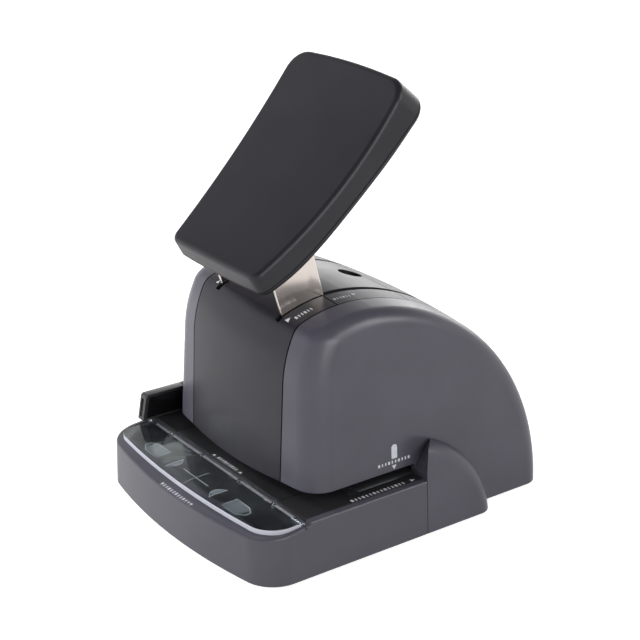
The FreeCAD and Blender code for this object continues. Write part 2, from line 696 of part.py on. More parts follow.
def pad_block(inset):
    """Closed pad body; outer version has its rims rounded."""
    block = pad_plan(inset).common(pad_profile(inset, -60.0, 60.0))
    rims = []
    for edge in block.Edges:
        b = edge.BoundBox
        if b.ZLength > 8 and b.XLength < 6 and b.YLength < 9:
            continue
        rims.append(edge)
    face_rims = [e for e in rims if e.CenterOfMass.z > -8.0]
    back_rims = [e for e in rims if e.CenterOfMass.z <= -8.0]
    block = block.makeFillet(max(pad_face_round - inset * 0.8, 0.8), face_rims)
    kept = []
    for edge in block.Edges:
        b = edge.BoundBox
        for old in back_rims:
            if (edge.CenterOfMass - old.CenterOfMass).Length < 2.5 and abs(edge.Length - old.Length) < 6:
                kept.append(edge)
                break
    if kept:
        block = block.makeFillet(max(pad_back_round - inset * 0.8, 0.8), kept)
    return block


def seam_zone(gap):
    """Everything above the pad's side seam."""
    pts = [(-20, -9.0 + gap), (-4, -9.4 + gap), (2, -10.8 + gap), (14, -13.6 + gap), (30, -15.4 + gap),
           (65, -16.4 + gap), (114, -17.0 + gap), (150, -17.4 + gap), (150, 30), (-20, 30)]
    return slab_x(pts, -60, 60)


def arm_slot_cutter(side, gap):
    x0 = side * arm_slot_half_x - arm_thickness / 2 - gap
    return box(x0, x0 + arm_thickness + 2 * gap, 2.0, 38.6, -30.0, -9.0)


def make_pad():
    outer = pad_block(0.0)
    inner = pad_block(pad_wall)
    shell = outer.cut(inner)
    upper = seam_zone(0.0)
    skin = outer.cut(pad_block(0.7))
    seam_band = skin.common(seam_zone(-0.4)).cut(seam_zone(0.0))
    top = shell.common(upper)
    bottom = shell.cut(upper).cut(seam_band)
    screws = []
    for x in (-20.0, 20.0):
        for t in (44.0, 70.0):
            top = top.fuse(rod_z(3.6, x, t, web_top_n, -7.2))
            floor_n = -18.4
            bottom = bottom.fuse(rod_z(4.2, x, t, floor_n, web_top_n - arm_thickness))
            bottom = bottom.cut(rod_z(1.6, x, t, -30, 0)).cut(rod_z(3.2, x, t, -30, -18.4))
            top = top.cut(rod_z(1.3, x, t, web_top_n - 1, web_top_n + 5.0))
            head = rod_z(3.0, x, t, -19.4, -18.4)
            head = head.cut(box(x - 2.0, x + 2.0, t - 0.35, t + 0.35, -20.2, -18.9))
            head = head.cut(box(x - 0.35, x + 0.35, t - 2.0, t + 2.0, -20.2, -18.9))
            screws.append(head.fuse(rod_z(1.3, x, t, -18.4, web_top_n + 4.5)))
    for side in (-1, 1):
        bottom = bottom.cut(arm_slot_cutter(side, 0.2))
    write("pad_top", place_pad(top.removeSplitter()))
    write("pad_bottom", place_pad(bottom.removeSplitter()))
    write("pad_screws", [place_pad(s) for s in screws])


def arm_edge_y(z, y_ref, z_ref, slope):
    return y_ref - slope * (z - z_ref)


def drive_centre():
    a = math.radians(drive_start)
    return pivot_y + drive_radius * math.cos(a), pivot_z + drive_radius * math.sin(a)


def make_bracket():
    arms = []
    pin_y, pin_z = drive_centre()
    for side in (-1, 1):
        x0 = side * arm_slot_half_x - arm_thickness / 2
        x1 = x0 + arm_thickness
        strip = slab_x([(arm_edge_y(pivot_z, *arm_front), pivot_z), (arm_edge_y(160, *arm_front), 160),
                        (arm_edge_y(160, *arm_rear), 160), (arm_edge_y(pivot_z, *arm_rear), pivot_z)], x0, x1)
        limit = place_pad(box(-60, 60, -200, 90, -220, web_top_n))
        strip = strip.common(limit)
        boss = rod_x(12.0, x0, x1, pivot_y, pivot_z)
        lobe = rod_x(7.0, x0, x1, pin_y, pin_z)
        link = slab_x(tangent_band(pin_y, pin_z, 7.0), x0, x1)
        flange = place_pad(box(x0, x1, 8.0, 76.0, web_top_n - arm_thickness, web_top_n))
        arm = join([strip, boss, lobe, link, flange])
        arm = arm.cut(rod_x(pivot_radius + fit_gap, x0 - 1, x1 + 1, pivot_y, pivot_z))
        arm = arm.cut(rod_x(drive_pin_radius, x0 - 1, x1 + 1, pin_y, pin_z))
        arms.append(arm)
    web = box(-arm_slot_half_x, arm_slot_half_x, 36.0, 76.0, web_top_n - arm_thickness, web_top_n)
    for x in (-20.0, 20.0):
        for t in (44.0, 70.0):
            web = web.cut(rod_z(1.5, x, t, -30, 0))
    web = web.cut(box(-10, 10, 46, 68, -30, 0))
    bracket = join(arms + [place_pad(web)])
    write("lever_bracket", bracket)
    pins = []
    for side in (-1, 1):
        x0, x1 = sorted((side * (arm_slot_half_x - 5.6), side * (arm_slot_half_x + 2.2)))
        pins.append(rod_x(drive_pin_radius, x0, x1, pin_y, pin_z))
    write("drive_pins", pins)


def tangent_band(y, z, half):
    """Four corners of the band joining the pivot to the drive pin."""
    dy = y - pivot_y
    dz = z - pivot_z
    d = math.hypot(dy, dz)
    ny = -dz / d * half
    nz = dy / d * half
    return [(pivot_y + ny, pivot_z + nz), (y + ny, z + nz), (y - ny, z - nz), (pivot_y - ny, pivot_z - nz)]


def make_shaft():
    shaft = rod_x(pivot_radius, -frame_x - 5.5, frame_x + 5.5, pivot_y, pivot_z)
    clips = []
    for side in (-1, 1):
        x0, x1 = sorted((side * (frame_x + frame_thickness), side * (frame_x + frame_thickness + 1.2)))
        ring = rod_x(7.0, x0, x1, pivot_y, pivot_z).cut(rod_x(pivot_radius, x0, x1, pivot_y, pivot_z))
        ring = ring.cut(box(-90, 90, pivot_y - 1.6, pivot_y + 1.6, pivot_z - 9, pivot_z - 3.2))
        clips.append(ring)
    arm_gap = arm_thickness / 2 + part_gap
    inner = arm_slot_half_x - arm_gap
    tube = rod_x(6.2, -inner, inner, pivot_y, pivot_z).cut(rod_x(pivot_radius, -inner, inner, pivot_y, pivot_z))
    bushes = [tube]
    for side in (-1, 1):
        x0, x1 = sorted((side * (arm_slot_half_x + arm_gap), side * frame_x))
        bushes.append(rod_x(6.2, x0, x1, pivot_y, pivot_z).cut(rod_x(pivot_radius, x0, x1, pivot_y, pivot_z)))
    write("pivot_shaft", shaft)
    write("pivot_bushes", bushes)
    write("shaft_clips", clips)


# ---------------------------------------------------------------- frame
def frame_side():
    pts = [(-58, chassis_top), (-58, 19), (11.5, 19), (11.5, floor_top), (-48.5, floor_top), (-48.5, 86),
           (-38, 104), (20, 106), (45, 92), (70, 62), (80, 30), (86, chassis_top)]
    plate = slab_x(pts, frame_x, frame_x + frame_thickness)
    x0 = frame_x - 10
    x1 = frame_x + 10
    flange = box(frame_x + frame_thickness, chassis_half_width, -56, 84, chassis_top, chassis_top + 2.0)
    plate = plate.fuse(flange.cut(box(x0, x1, -16.5, -7.5, 0, 20)))
    for y, z in frame_bores:
        plate = plate.cut(rod_x(3.2, x0, x1, y, z))
    plate = plate.cut(rod_x(pivot_radius, x0, x1, pivot_y, pivot_z))
    plate = plate.cut(rod_x(11.0, x0, x1, 48.0, 44.0))
    for y in chassis_screw_ys:
        plate = plate.cut(rod_z(1.6, chassis_screw_x, y, 0, 20))
    return plate.removeSplitter()


def make_frame():
    right = frame_side()
    for y, z in boss_spots:
        right = right.cut(rod_x(1.7, frame_x - 10, frame_x + 10, y, z))
    write("frame_right", right)
    write("frame_left", mirror(right))
    plate = box(-chassis_half_width, chassis_half_width, -60.0, 88.0, chassis_z, chassis_top)
    screws = []
    for side in (-1, 1):
        boss_x = side * floor_screw_x
        plate = plate.cut(box(boss_x - 5, boss_x + 5, floor_screw_ys[1] - 5.5, floor_screw_ys[1] + 5.5, 0, 10))
        plate = plate.cut(rod_z(1.5, side * 40.0, 66.0, 0, 20))
        x = side * chassis_screw_x
        for y in chassis_screw_ys:
            plate = plate.cut(rod_z(1.6, x, y, 0, 20))
            head = rod_z(2.6, x, y, chassis_top + 2.0, chassis_top + 3.6)
            head = head.cut(box(x - 2, x + 2, y - 0.4, y + 0.4, chassis_top + 3.0, 20))
            screws.append(head.fuse(rod_z(1.6, x, y, chassis_z, chassis_top + 2.0)))
    plate = plate.cut(box(-30, 30, 20, 60, 0, 20))
    write("chassis_plate", plate)
    write("chassis_screws", screws)
    rods = [rod_x(3.2, -frame_x - frame_thickness - 1.0, frame_x + frame_thickness + 1.0, y, z)
            for y, z in frame_bores]
    write("frame_rods", rods)
    sleeves = []
    for y, z in frame_bores[:2]:
        sleeves.append(rod_x(4.0, -36.0, 36.0, y, z).cut(rod_x(3.2, -37, 37, y, z)))
    write("stop_sleeves", sleeves)


def make_head_floor():
    half = head_half_width - 5.3
    plate = box(-half, half, -41.0, 8.3, slot_top_z, floor_top)
    plate = plate.fuse(box(15.0 - half, half - 15.0, -54.5, -41.0, slot_top_z, floor_top))
    plate = plate.fuse(box(-30.0, 30.0, 8.3, 18.0, slot_top_z, floor_top))
    for side in (-1, 1):
        x = side * hole_pitch / 2
        plate = plate.cut(slab_z(cutter_section(x, 0.12), 30, 45))
        x0, x1, y0, y1 = slit_section(x, 0.12)
        plate = plate.cut(box(x0, x1, y0, y1, 30, 45))
        plate = plate.cut(rod_z(post_radius, side * post_x, post_y, 30, 45))
    write("head_floor", plate.removeSplitter())
    bridge = box(-frame_x, frame_x, 6.8, 20.0, bridge_z, bridge_z + 2.5)
    for side in (-1, 1):
        bridge = bridge.cut(rod_z(post_radius, side * post_x, post_y, 80, 100))
        bridge = bridge.cut(rod_z(1.2, side * spring_x, spring_y, 80, 100))
        x = side * arm_slot_half_x
        bridge = bridge.cut(box(x - 1.7, x + 1.7, 6.0, 11.0, 80, 100))
    write("post_bridge", bridge)
    posts = [rod_z(post_radius, side * post_x, post_y, slot_top_z + 0.4, bridge_z + 2.5) for side in (-1, 1)]
    write("guide_posts", posts)


def make_throat_wall():
    half = head_half_width - 4.8
    write("throat_wall", box(-half, half, seam_y, seam_y + 2.0, 19.5, slot_top_z))


# ---------------------------------------------------------------- ram
def make_ram():
    z0 = ram_bottom_z
    z1 = ram_bottom_z + ram_thickness
    mid_z = (z0 + z1) / 2
    pin_y, pin_z = drive_centre()
    blocks = [box(-ram_half_width, ram_half_width, 6.0, ram_rear_y, z0, z1)]
    for side in (-1, 1):
        x0, x1 = sorted((side * 35.2, side * ram_half_width))
        blocks.append(box(x0, x1, -9.0, 6.0, z0, z1))
        cx0, cx1 = sorted((side * (cheek_x - 1.0), side * (cheek_x + 1.0)))
        cheek = slab_x([(-3.5, z1 + 3.0), (-3.5, pin_z + 6.5), (ram_rear_y, pin_z + 6.5), (ram_rear_y, z1),
                        (6.0, z1), (4.0, z1 + 3.0)], cx0, cx1)
        half = drive_pin_radius + yoke_clearance
        slot = box(cx0 - 1, cx1 + 1, pin_y, pivot_y + drive_radius, pin_z - half, pin_z + half)
        slot = slot.fuse(rod_x(half, cx0 - 1, cx1 + 1, pin_y, pin_z))
        slot = slot.fuse(rod_x(half, cx0 - 1, cx1 + 1, pivot_y + drive_radius, pin_z))
        blocks.append(cheek.cut(slot))
    ram = join(blocks)
    for side in (-1, 1):
        ram = ram.cut(rod_z(post_radius + fit_gap, side * post_x, post_y, 40, 80))
        ram = ram.cut(rod_y(1.5, side * 44.6, -10, -2, mid_z))
        ram = ram.cut(rod_z(1.2, side * spring_x, spring_y, z1 - 3.0, 80))
    write("ram", ram.removeSplitter())
    tip = z0 - cutter_length + 0.3
    cutters = []
    blades = []
    for side in (-1, 1):
        x = side * hole_pitch / 2
        cutters.append(slab_z(cutter_section(x, 0.0), tip, z0))
        x0, x1, y0, y1 = slit_section(x, 0.0)
        blades.append(box(x0, x1, y0, y1, tip, z0))
    write("tongue_cutters", cutters)
    write("slit_blades", blades)
    screws = []
    for side in (-1, 1):
        x = side * 44.6
        head = rod_y(2.6, x, -10.6, -9.0, mid_z).cut(box(x - 2, x + 2, -11, -10.0, mid_z - 0.35, mid_z + 0.35))
        screws.append(head.fuse(rod_y(1.5, x, -9.0, -2.6, mid_z)))
    write("cutter_screws", screws)


def make_springs():
    springs = []
    for side in (-1, 1):
        x = side * spring_x
        z0 = ram_bottom_z + ram_thickness
        height = bridge_z - z0
        helix = Part.makeHelix(2.6, height - 4.0, 3.0)
        helix.translate(V(x, spring_y, z0 + 2.0))
        start = V(x + 3.0, spring_y, z0 + 2.0)
        ring = Part.Wire(Part.makeCircle(0.45, start, V(0, 1, 0)))
        coil = Part.Wire(helix.Edges).makePipeShell([ring], True, True)
        low_hook = rod_z(0.5, x, spring_y, z0 - 2.6, z0 + 2.3)
        high_hook = rod_z(0.5, x, spring_y, bridge_z - 2.3, bridge_z + 2.0)
        low_arm = Part.makeCylinder(0.5, 3.0, V(x, spring_y, z0 + 2.0), V(1, 0, 0))
        turns = (height - 4.0) / 2.6
        angle = (turns - math.floor(turns)) * 2 * math.pi
        high_arm = Part.makeCylinder(0.5, 3.0, V(x, spring_y, bridge_z - 2.0),
                                     V(math.cos(angle), math.sin(angle), 0))
        springs.append(coil.fuse(low_hook).fuse(high_hook).fuse(low_arm).fuse(high_arm))
    write("return_springs", springs)


def trim_lip(shape):
    """Cut the front cover off along a shallow downward arch."""
    radius = (cover_half_width ** 2 + lip_drop ** 2) / (2 * lip_drop)
    keep = Part.makeCylinder(radius, 80, V(0, -100, slot_top_z - lip_drop + radius), V(0, 1, 0))
    shape = shape.cut(box(-100, 100, -120, 20, -20, slot_top_z - lip_drop))
    return shape.cut(box(-100, 100, -100, -20, slot_top_z - lip_drop - 1, slot_top_z).cut(keep))


def finish_covers(covers):
    """Screw bosses on the left side cover, and the right cover as its mirror image."""
    shape = covers["side_cover_left"]
    outside = -(frame_x + frame_thickness)
    screws = []
    for y, z in boss_spots:
        reach = head_half_width - wall - side_draft * z + 0.6
        shape = shape.fuse(rod_x(4.0, -reach, outside, y, z)).cut(rod_x(1.5, outside - 5.0, outside, y, z))
        head = rod_x(3.0, -frame_x, -frame_x + 1.6, y, z)
        screws.append(head.fuse(rod_x(1.5, outside - 4.5, -frame_x, y, z)))
    covers["side_cover_left"] = shape.removeSplitter()
    covers["side_cover_right"] = mirror(covers["side_cover_left"])
    write("cover_screws", screws + [mirror(screw) for screw in screws])
    return covers


if __name__ == "__main__":
    make_base_shell()
    make_floor()
    make_deck()
    make_bed_and_die()
    make_die_supports()
    make_position_plate()
    make_guide()
    make_frame()
    make_head_floor()
    make_ram()
    make_springs()
    make_shaft()
    make_bracket()
    make_pad()
    for name, shape in finish_covers(make_covers()).items():
        write(name, shape)
    make_throat_wall()
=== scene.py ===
"""Looks of the lever binding punch, put around the solids of the shared frame. Metres.

Every CAD node takes a finish, five nodes are shown by a copy with rounded edges, and flat print stands
where the object has lettering. Floor, light and camera follow the photograph.
"""
import json
import math

import bmesh
import bpy
from mathutils import Matrix, Vector
from mathutils.bvhtree import BVHTree


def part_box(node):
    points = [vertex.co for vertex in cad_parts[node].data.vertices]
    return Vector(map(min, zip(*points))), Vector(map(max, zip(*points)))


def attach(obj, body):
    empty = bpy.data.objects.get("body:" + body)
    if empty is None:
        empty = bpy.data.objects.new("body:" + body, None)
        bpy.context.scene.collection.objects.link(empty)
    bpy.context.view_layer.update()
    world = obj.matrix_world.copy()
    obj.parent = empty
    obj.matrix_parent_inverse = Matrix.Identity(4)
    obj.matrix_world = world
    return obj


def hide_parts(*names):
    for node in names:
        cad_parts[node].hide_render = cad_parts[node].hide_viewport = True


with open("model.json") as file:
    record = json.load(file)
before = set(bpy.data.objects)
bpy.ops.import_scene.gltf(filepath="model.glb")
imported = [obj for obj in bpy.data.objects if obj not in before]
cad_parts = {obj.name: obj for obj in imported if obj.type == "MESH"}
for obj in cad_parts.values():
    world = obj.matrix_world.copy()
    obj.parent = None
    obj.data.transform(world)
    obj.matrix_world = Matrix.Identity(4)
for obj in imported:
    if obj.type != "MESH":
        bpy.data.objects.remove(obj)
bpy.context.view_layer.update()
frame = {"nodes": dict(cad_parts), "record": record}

MM = 0.001
WHITE = (1.0, 1.0, 1.0, 1.0)


# ---------------------------------------------------------------- material kit
def colour(red, green, blue):
    """Screen colour from 0 to 255 as the linear colour that a shader takes."""
    def linear(value):
        share = value / 255.0
        return share / 12.92 if share <= 0.04045 else ((share + 0.055) / 1.055) ** 2.4
    return (linear(red), linear(green), linear(blue), 1.0)


def toned(base, factor, lift=0.0):
    """base made lighter or darker by factor and then raised by lift."""
    return tuple(min(1.0, channel * factor + lift) for channel in base[:3]) + (1.0,)


def put(links, socket, value):
    """Links value to the socket if it is a socket itself, and writes it there if not."""
    if isinstance(value, bpy.types.NodeSocket):
        links.new(value, socket)
    else:
        socket.default_value = value


class Finish:
    """One material's node tree, with short calls for the nodes used here."""

    def __init__(self, name):
        self.material = bpy.data.materials.new(name)
        self.material.use_nodes = True
        tree = self.material.node_tree
        self.nodes = tree.nodes
        self.links = tree.links
        self.shader = tree.nodes["Principled BSDF"]
        self.place = self.nodes.new("ShaderNodeTexCoord").outputs["Object"]

    def set(self, **values):
        """Puts values on the shader's sockets; an underscore stands for a space in their names."""
        for name, value in values.items():
            put(self.links, self.shader.inputs[name.replace("_", " ")], value)

    def stretched(self, scale):
        mapping = self.nodes.new("ShaderNodeMapping")
        mapping.inputs["Scale"].default_value = scale
        self.links.new(self.place, mapping.inputs["Vector"])
        return mapping.outputs["Vector"]

    def noise(self, size, detail, stretch=None):
        """Noise whose blotches are about size metres wide, longer on an axis where stretch is below 1."""
        node = self.nodes.new("ShaderNodeTexNoise")
        node.inputs["Scale"].default_value = 1.0 / size
        node.inputs["Detail"].default_value = detail
        self.links.new(self.stretched(stretch) if stretch else self.place, node.inputs["Vector"])
        return node.outputs["Fac"]

    def cells(self, size):
        node = self.nodes.new("ShaderNodeTexVoronoi")
        node.inputs["Scale"].default_value = 1.0 / size
        self.links.new(self.place, node.inputs["Vector"])
        return node.outputs["Distance"]

    def spread(self, value, source, target):
        """Maps value from the range source onto the range target, and clamps it there."""
        node = self.nodes.new("ShaderNodeMapRange")
        limits = zip(("From Min", "From Max", "To Min", "To Max"), source + target)
        for name, number in limits:
            node.inputs[name].default_value = number
        self.links.new(value, node.inputs["Value"])
        return node.outputs["Result"]

    def math(self, kind, a, b=0.0):
        node = self.nodes.new("ShaderNodeMath")
        node.operation = kind
        put(self.links, node.inputs[0], a)
        put(self.links, node.inputs[1], b)
        return node.outputs["Value"]

    def mix(self, amount, a, b):
        """Colour mix; a and b are colours or colour sockets."""
        node = self.nodes.new("ShaderNodeMix")
        node.data_type = "RGBA"
        self.links.new(amount, node.inputs["Factor"])
        put(self.links, node.inputs["A"], a)
        put(self.links, node.inputs["B"], b)
        return node.outputs["Result"]

    def edges(self, radius):
        """1 on outer and inner edges tighter than radius, 0 on open faces."""
        bevel = self.nodes.new("ShaderNodeBevel")
        bevel.samples = 6
        bevel.inputs["Radius"].default_value = radius
        shape = self.nodes.new("ShaderNodeNewGeometry")
        turn = self.nodes.new("ShaderNodeVectorMath")
        turn.operation = "DOT_PRODUCT"
        self.links.new(bevel.outputs["Normal"], turn.inputs[0])
        self.links.new(shape.outputs["Normal"], turn.inputs[1])
        return self.spread(turn.outputs["Value"], (1.0, 0.85), (0.0, 1.0))

    def gap_shade(self, reach):
        """Mask for painted shade, from ambient occlusion: 1 deep in gaps narrower than reach, 0 in the
        open.
        """
        shade = self.nodes.new("ShaderNodeAmbientOcclusion")
        shade.samples = 8
        shade.inputs["Distance"].default_value = reach
        return self.spread(shade.outputs["AO"], (0.30, 0.72), (1.0, 0.0))

    def line_at(self, axis, distance, width):
        """1 in a line width wide that lies at distance from the middle of the axis, on both sides."""
        split = self.nodes.new("ShaderNodeSeparateXYZ")
        self.links.new(self.place, split.inputs["Vector"])
        away = self.math("SUBTRACT", self.math("ABSOLUTE", split.outputs[axis]), distance)
        return self.spread(self.math("ABSOLUTE", away), (width * 0.35, width * 0.6), (1.0, 0.0))

    def bump(self, height, depth, strength):
        node = self.nodes.new("ShaderNodeBump")
        node.inputs["Distance"].default_value = depth
        node.inputs["Strength"].default_value = strength
        self.links.new(height, node.inputs["Height"])
        return node.outputs["Normal"]


# ---------------------------------------------------------------- finishes
IOR_PLASTIC = 1.5
IOR_ACRYLIC = 1.49
GRAIN = 0.45 * MM             # eroded grain of the moulded parts
GRAIN_DEPTH = 0.025 * MM
WORN_EDGE = 0.5 * MM          # edges tighter than this are rubbed light
SHADE_REACH = 0.6 * MM         # gaps narrower than this get painted shade
SEAM_WIDTH = 0.8 * MM         # painted shadow line drawn over the groove between two covers
SEAM_SHEEN = 0.03             # share of its gloss that the plastic keeps in that painted shadow line
SEAM_SHIFT = 0.15 * MM        # from the face where two covers meet to the middle of the line
# line_at draws on both sides of the middle, so the crown's painted shadow line shows once more behind the
# arms.
SIDE_SEAM = ("X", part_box("front_cover")[1][0] + SEAM_SHIFT)
CROWN_SEAM = ("Y", abs(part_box("rear_cover")[0][1] - SEAM_SHIFT))


def moulded(name, base, roughness, sheen=0.5, seams=()):
    """Moulded plastic with an eroded grain, faint mottling and worn edges, painted shade in narrow gaps and
    painted shadow lines over the seams.
    """
    look = Finish(name)
    light = toned(base, 1.08, 0.002)
    # painted shade colour, used in narrow gaps and in the seam lines
    painted_shade = toned(base, 0.10)
    blotches = look.spread(look.noise(28 * MM, detail=4.0), (0.3, 0.7), (0.0, 1.0))
    specks = look.spread(look.noise(GRAIN, detail=2.0), (0.62, 0.78), (0.0, 0.35))
    scuffs = look.spread(look.noise(3.0 * MM, detail=6.0), (0.46, 0.66), (0.15, 0.6))
    tone = look.mix(blotches, toned(base, 0.94), light)
    tone = look.mix(specks, tone, light)
    tone = look.mix(look.math("MULTIPLY", look.edges(WORN_EDGE), scuffs), tone, toned(base, 1.25, 0.006))
    # Painted shade: the colour darkens where ambient occlusion finds a narrow gap, under the plate as well.
    tone = look.mix(look.gap_shade(SHADE_REACH), tone, painted_shade)
    # Painted shadow lines over the grooves between covers: darkened colour and almost no gloss.
    for axis, distance in seams:
        line = look.line_at(axis, distance, SEAM_WIDTH)
        tone = look.mix(line, tone, painted_shade)
        sheen = look.math("MULTIPLY", look.spread(line, (0.0, 1.0), (1.0, SEAM_SHEEN)), sheen)
    handled = look.spread(look.noise(14 * MM, detail=5.0), (0.35, 0.7), (-0.015, 0.02))
    fine = look.spread(look.noise(GRAIN * 0.8, detail=2.0), (0.3, 0.7), (-0.03, 0.03))
    rough = look.math("ADD", look.math("ADD", handled, fine), roughness)
    pebbles = look.math("MULTIPLY", look.cells(GRAIN * 1.4), 0.6)
    pits = look.math("ADD", look.noise(GRAIN, detail=3.0), pebbles)
    look.set(Base_Color=tone, Roughness=rough, IOR=IOR_PLASTIC, Specular_IOR_Level=sheen,
             Normal=look.bump(pits, GRAIN_DEPTH, strength=0.55))
    return look.material


def polished(name, base, roughness):
    """Gloss plastic with hairline scratches and a breath of dust."""
    look = Finish(name)
    dust = look.spread(look.noise(0.5 * MM, detail=8.0), (0.58, 0.8), (0.0, 0.12))
    smear = look.spread(look.noise(9 * MM, detail=4.0), (0.35, 0.7), (0.0, 0.12))
    hair = look.noise(1.0 * MM, detail=3.0, stretch=(1.0, 0.06, 1.0))
    look.set(Base_Color=look.mix(dust, base, toned(base, 1.0, 0.10)), IOR=IOR_PLASTIC,
             Roughness=look.math("ADD", smear, roughness), Normal=look.bump(hair, 0.006 * MM, strength=0.4))
    return look.material


def brushed(name, base, roughness, along, streak=0.12 * MM, grain=0.03 * MM, contrast=0.55, uneven=1.0):
    """Rolled or brushed metal, with a painted highlight along its edges.

    along stretches the streaks on an axis where it is below 1, streak is their width, grain their depth,
    contrast how dark they get, and uneven how much the gloss varies.
    """
    look = Finish(name)
    lines = look.noise(streak, detail=4.0, stretch=along)
    bands = look.noise(streak * 14, detail=3.0, stretch=along)
    tone = look.mix(look.spread(lines, (0.35, 0.65), (0.0, contrast)), base, toned(base, 0.72))
    # Painted highlight: edges tighter than 0.4 mm are painted lighter.
    tone = look.mix(look.math("MULTIPLY", look.edges(0.4 * MM), 0.8), tone, toned(base, 1.25, 0.05))
    cloud = look.spread(look.noise(11 * MM, detail=3.0), (0.35, 0.7), (-0.02 * uneven, 0.03 * uneven))
    rough = look.math("ADD", look.spread(bands, (0.3, 0.7), (-0.05 * uneven, 0.08 * uneven)), roughness)
    look.set(Base_Color=tone, Metallic=1.0, Roughness=look.math("ADD", rough, cloud),
             Normal=look.bump(lines, grain, strength=0.25))
    return look.material


def clear(name, tint, shadow):
    """Clear acrylic: refracts, keeps a faint smear, and lets light through in the colour shadow."""
    look = Finish(name)
    hair = look.noise(0.8 * MM, detail=3.0, stretch=(1.0, 0.08, 1.0))
    smear = look.spread(look.noise(12 * MM, detail=5.0), (0.4, 0.75), (0.02, 0.10))
    look.set(Base_Color=tint, Roughness=smear, IOR=IOR_ACRYLIC, Specular_IOR_Level=0.3,
             Transmission_Weight=1.0, Normal=look.bump(hair, 0.004 * MM, strength=0.3))
    through = look.nodes.new("ShaderNodeBsdfTransparent")
    through.inputs["Color"].default_value = shadow
    path = look.nodes.new("ShaderNodeLightPath")
    chosen = look.nodes.new("ShaderNodeMixShader")
    look.links.new(path.outputs["Is Shadow Ray"], chosen.inputs["Fac"])
    look.links.new(look.shader.outputs["BSDF"], chosen.inputs[1])
    look.links.new(through.outputs["BSDF"], chosen.inputs[2])
    look.links.new(chosen.outputs["Shader"], look.nodes["Material Output"].inputs["Surface"])
    return look.material


def printed(name, base):
    """Pad-printed ink: slightly uneven cover, duller where it is thick."""
    look = Finish(name)
    cover = look.spread(look.noise(0.35 * MM, detail=4.0), (0.38, 0.62), (0.0, 1.0))
    look.set(Base_Color=look.mix(cover, toned(base, 0.72), base),
             Roughness=look.spread(cover, (0.0, 1.0), (0.62, 0.48)),
             Normal=look.bump(look.noise(0.2 * MM, detail=2.0), 0.01 * MM, strength=0.4))
    return look.material


def elastomer(name, base):
    """Rubber with a pale bloom."""
    look = Finish(name)
    bloom = look.spread(look.noise(4 * MM, detail=5.0), (0.4, 0.7), (0.0, 0.5))
    look.set(Base_Color=look.mix(bloom, base, toned(base, 1.6, 0.01)),
             Roughness=look.spread(bloom, (0.0, 0.5), (0.72, 0.85)),
             Normal=look.bump(look.noise(0.3 * MM, detail=3.0), 0.03 * MM, strength=0.5))
    return look.material


FINISHES = {
    "cover_plastic": (moulded, dict(base=colour(69, 67, 77), roughness=0.33, seams=(SIDE_SEAM,))),
    "front_plastic": (moulded, dict(base=colour(38, 37, 43), roughness=0.34, sheen=0.3,
                                    seams=(SIDE_SEAM, CROWN_SEAM))),
    "base_plastic": (moulded, dict(base=colour(67, 65, 74), roughness=0.33)),
    "deck_plastic": (moulded, dict(base=colour(34, 34, 36), roughness=0.36)),
    "pad_plastic": (moulded, dict(base=colour(27, 27, 32), roughness=0.38, sheen=0.35)),
    "guide_plastic": (moulded, dict(base=colour(50, 49, 51), roughness=0.30)),
    "black_plastic": (polished, dict(base=colour(16, 16, 18), roughness=0.16)),
    "rail_gloss": (polished, dict(base=colour(34, 35, 38), roughness=0.26)),
    "clear_plastic": (clear, dict(tint=(0.70, 0.77, 0.77, 1.0), shadow=(0.86, 0.88, 0.90, 1.0))),
    # Frosted plate walls, painted pale: partly the frosting, partly a painted highlight.
    "frosted_edge": (polished, dict(base=colour(186, 188, 198), roughness=0.28)),
    "frosted_ridge": (polished, dict(base=colour(128, 129, 134), roughness=0.22)),
    "bare_steel": (brushed, dict(base=colour(222, 212, 205), roughness=0.18, along=(1.0, 1.0, 0.25),
                                 streak=0.10 * MM, grain=0.0002 * MM, contrast=0.03, uneven=0.15)),
    "tool_steel": (brushed, dict(base=colour(150, 152, 156), roughness=0.26, along=(1.0, 1.0, 0.05))),
    "plated_steel": (brushed, dict(base=colour(186, 188, 190), roughness=0.34, along=(0.05, 1.0, 1.0))),
    "brass_bush": (brushed, dict(base=colour(206, 172, 98), roughness=0.26, along=(1.0, 0.2, 0.2))),
    "rubber": (elastomer, dict(base=colour(30, 30, 31))),
    "ink": (printed, dict(base=colour(206, 208, 216))),
    "ink_grey": (printed, dict(base=colour(205, 208, 212))),
    "ink_plate": (printed, dict(base=colour(198, 199, 203))),
    "ink_plate_fill": (printed, dict(base=colour(126, 126, 132))),
}
MATERIALS = {name: make(name, **values) for name, (make, values) in FINISHES.items()}


def finish_frame():
    """Every CAD node takes the finish of its material slot."""
    for part in frame["record"]["subparts"]:
        node = frame["nodes"][part["node"]]
        node.data.materials.clear()
        node.data.materials.append(MATERIALS[part["material_slot"]])


# ---------------------------------------------------------------- dressed copies
SMOOTH_ANGLE = 0.6            # radians; edges that turn less are shaded round
SHARP_ANGLE = 0.55            # radians; edges that turn more are rounded
FLAT_ANGLE = 0.02             # radians; faces closer than this are joined before the rounding
WELD = 0.002 * MM
ROUNDED = (                   # node, radius, finish, body that it rides on
    ("lever_bracket", 0.25 * MM, "bare_steel", "lever"),
    ("paper_guide", 0.6 * MM, "guide_plastic", "side_guide"),
    ("guide_insert", 0.2 * MM, "black_plastic", "side_guide"),
    ("paper_bed", 0.5 * MM, "rail_gloss", "base"),
)
PLATE_ROUND = 0.35 * MM
PLATE_WALL = 0.5              # a face whose normal has less z than this is one of the plate's walls
PLATE_FRONT = -0.25           # a wall whose normal has less y than this faces the user
PLATE_RIGHT_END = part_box("position_plate")[1][0] - 7.4 * MM    # walls beyond this are frosted and painted pale as well
